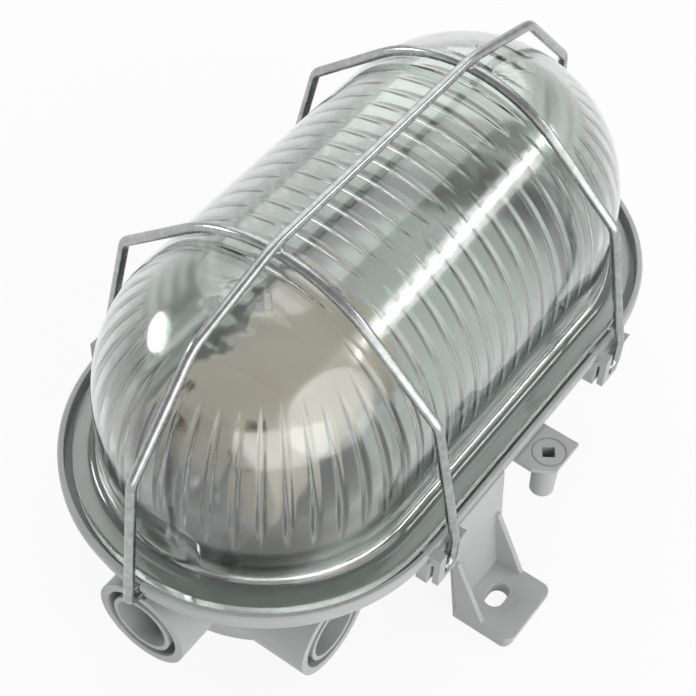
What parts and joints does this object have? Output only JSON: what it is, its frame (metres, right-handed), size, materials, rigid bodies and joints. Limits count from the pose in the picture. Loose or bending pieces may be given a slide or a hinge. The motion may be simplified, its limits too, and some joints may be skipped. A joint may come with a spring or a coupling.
{
  "type": "bulkhead light",
  "caption": "Oval bulkhead light: moulded housing with fixing feet and conduit entries, ribbed glass dome, hinged wire guard, screw lampholder.",
  "frame": {"origin": "centre of the oval plan, on the plane of the housing's back", "axes": "+Z out of the wall through the top of the dome, X along the oval with the end cable entry at -X, -Y towards the side cable entry"},
  "size_m": [0.186, 0.1404, 0.102],
  "materials": {
    "housing_plastic": "fine satin moulded plastic, cool light grey",
    "gasket_rubber": "matt black rubber",
    "dome_glass": "clear pressed glass with inner ribs, faint green",
    "guard_wire": "bright galvanised steel wire",
    "reflector_sheet": "pressed aluminium sheet, semi-bright",
    "plated_steel": "zinc-plated steel",
    "holder_porcelain": "cream glazed porcelain",
    "shell_brass": "plain rolled and turned brass",
    "strip_plastic": "off-white moulded plastic",
    "brown_sleeve": "brown heat-resistant sleeving",
    "grey_sleeve": "grey heat-resistant sleeving"
  },
  "bodies": {
    "base": {"housing": "housing_plastic", "gasket": "gasket_rubber", "glass_dome": "dome_glass", "reflector": "reflector_sheet", "reflector_screw": "plated_steel", "lampholder": "holder_porcelain", "lampholder_shell": "shell_brass", "centre_contact": "shell_brass", "holder_terminals": "shell_brass", "holder_terminal_screws": "plated_steel", "holder_bracket": "plated_steel", "holder_screws": "plated_steel", "bracket_screws": "plated_steel", "terminal_strip": "strip_plastic", "terminal_tubes": "shell_brass", "terminal_screws": "plated_steel", "strip_screw": "plated_steel", "live_lead": "brown_sleeve", "neutral_lead": "grey_sleeve"},
    "guard": {"guard_front_hoop": "guard_wire", "guard_rear_hoop": "guard_wire", "guard_long_wire": "guard_wire"}
  },
  "joints": [
    {"name": "guard_hinge", "type": "hinge", "parent": "base", "child": "guard", "pos_m": [0, 0.0523, 0.0276], "axis": [-1, 0, 0], "range_deg": [0, 100]}
  ]
}
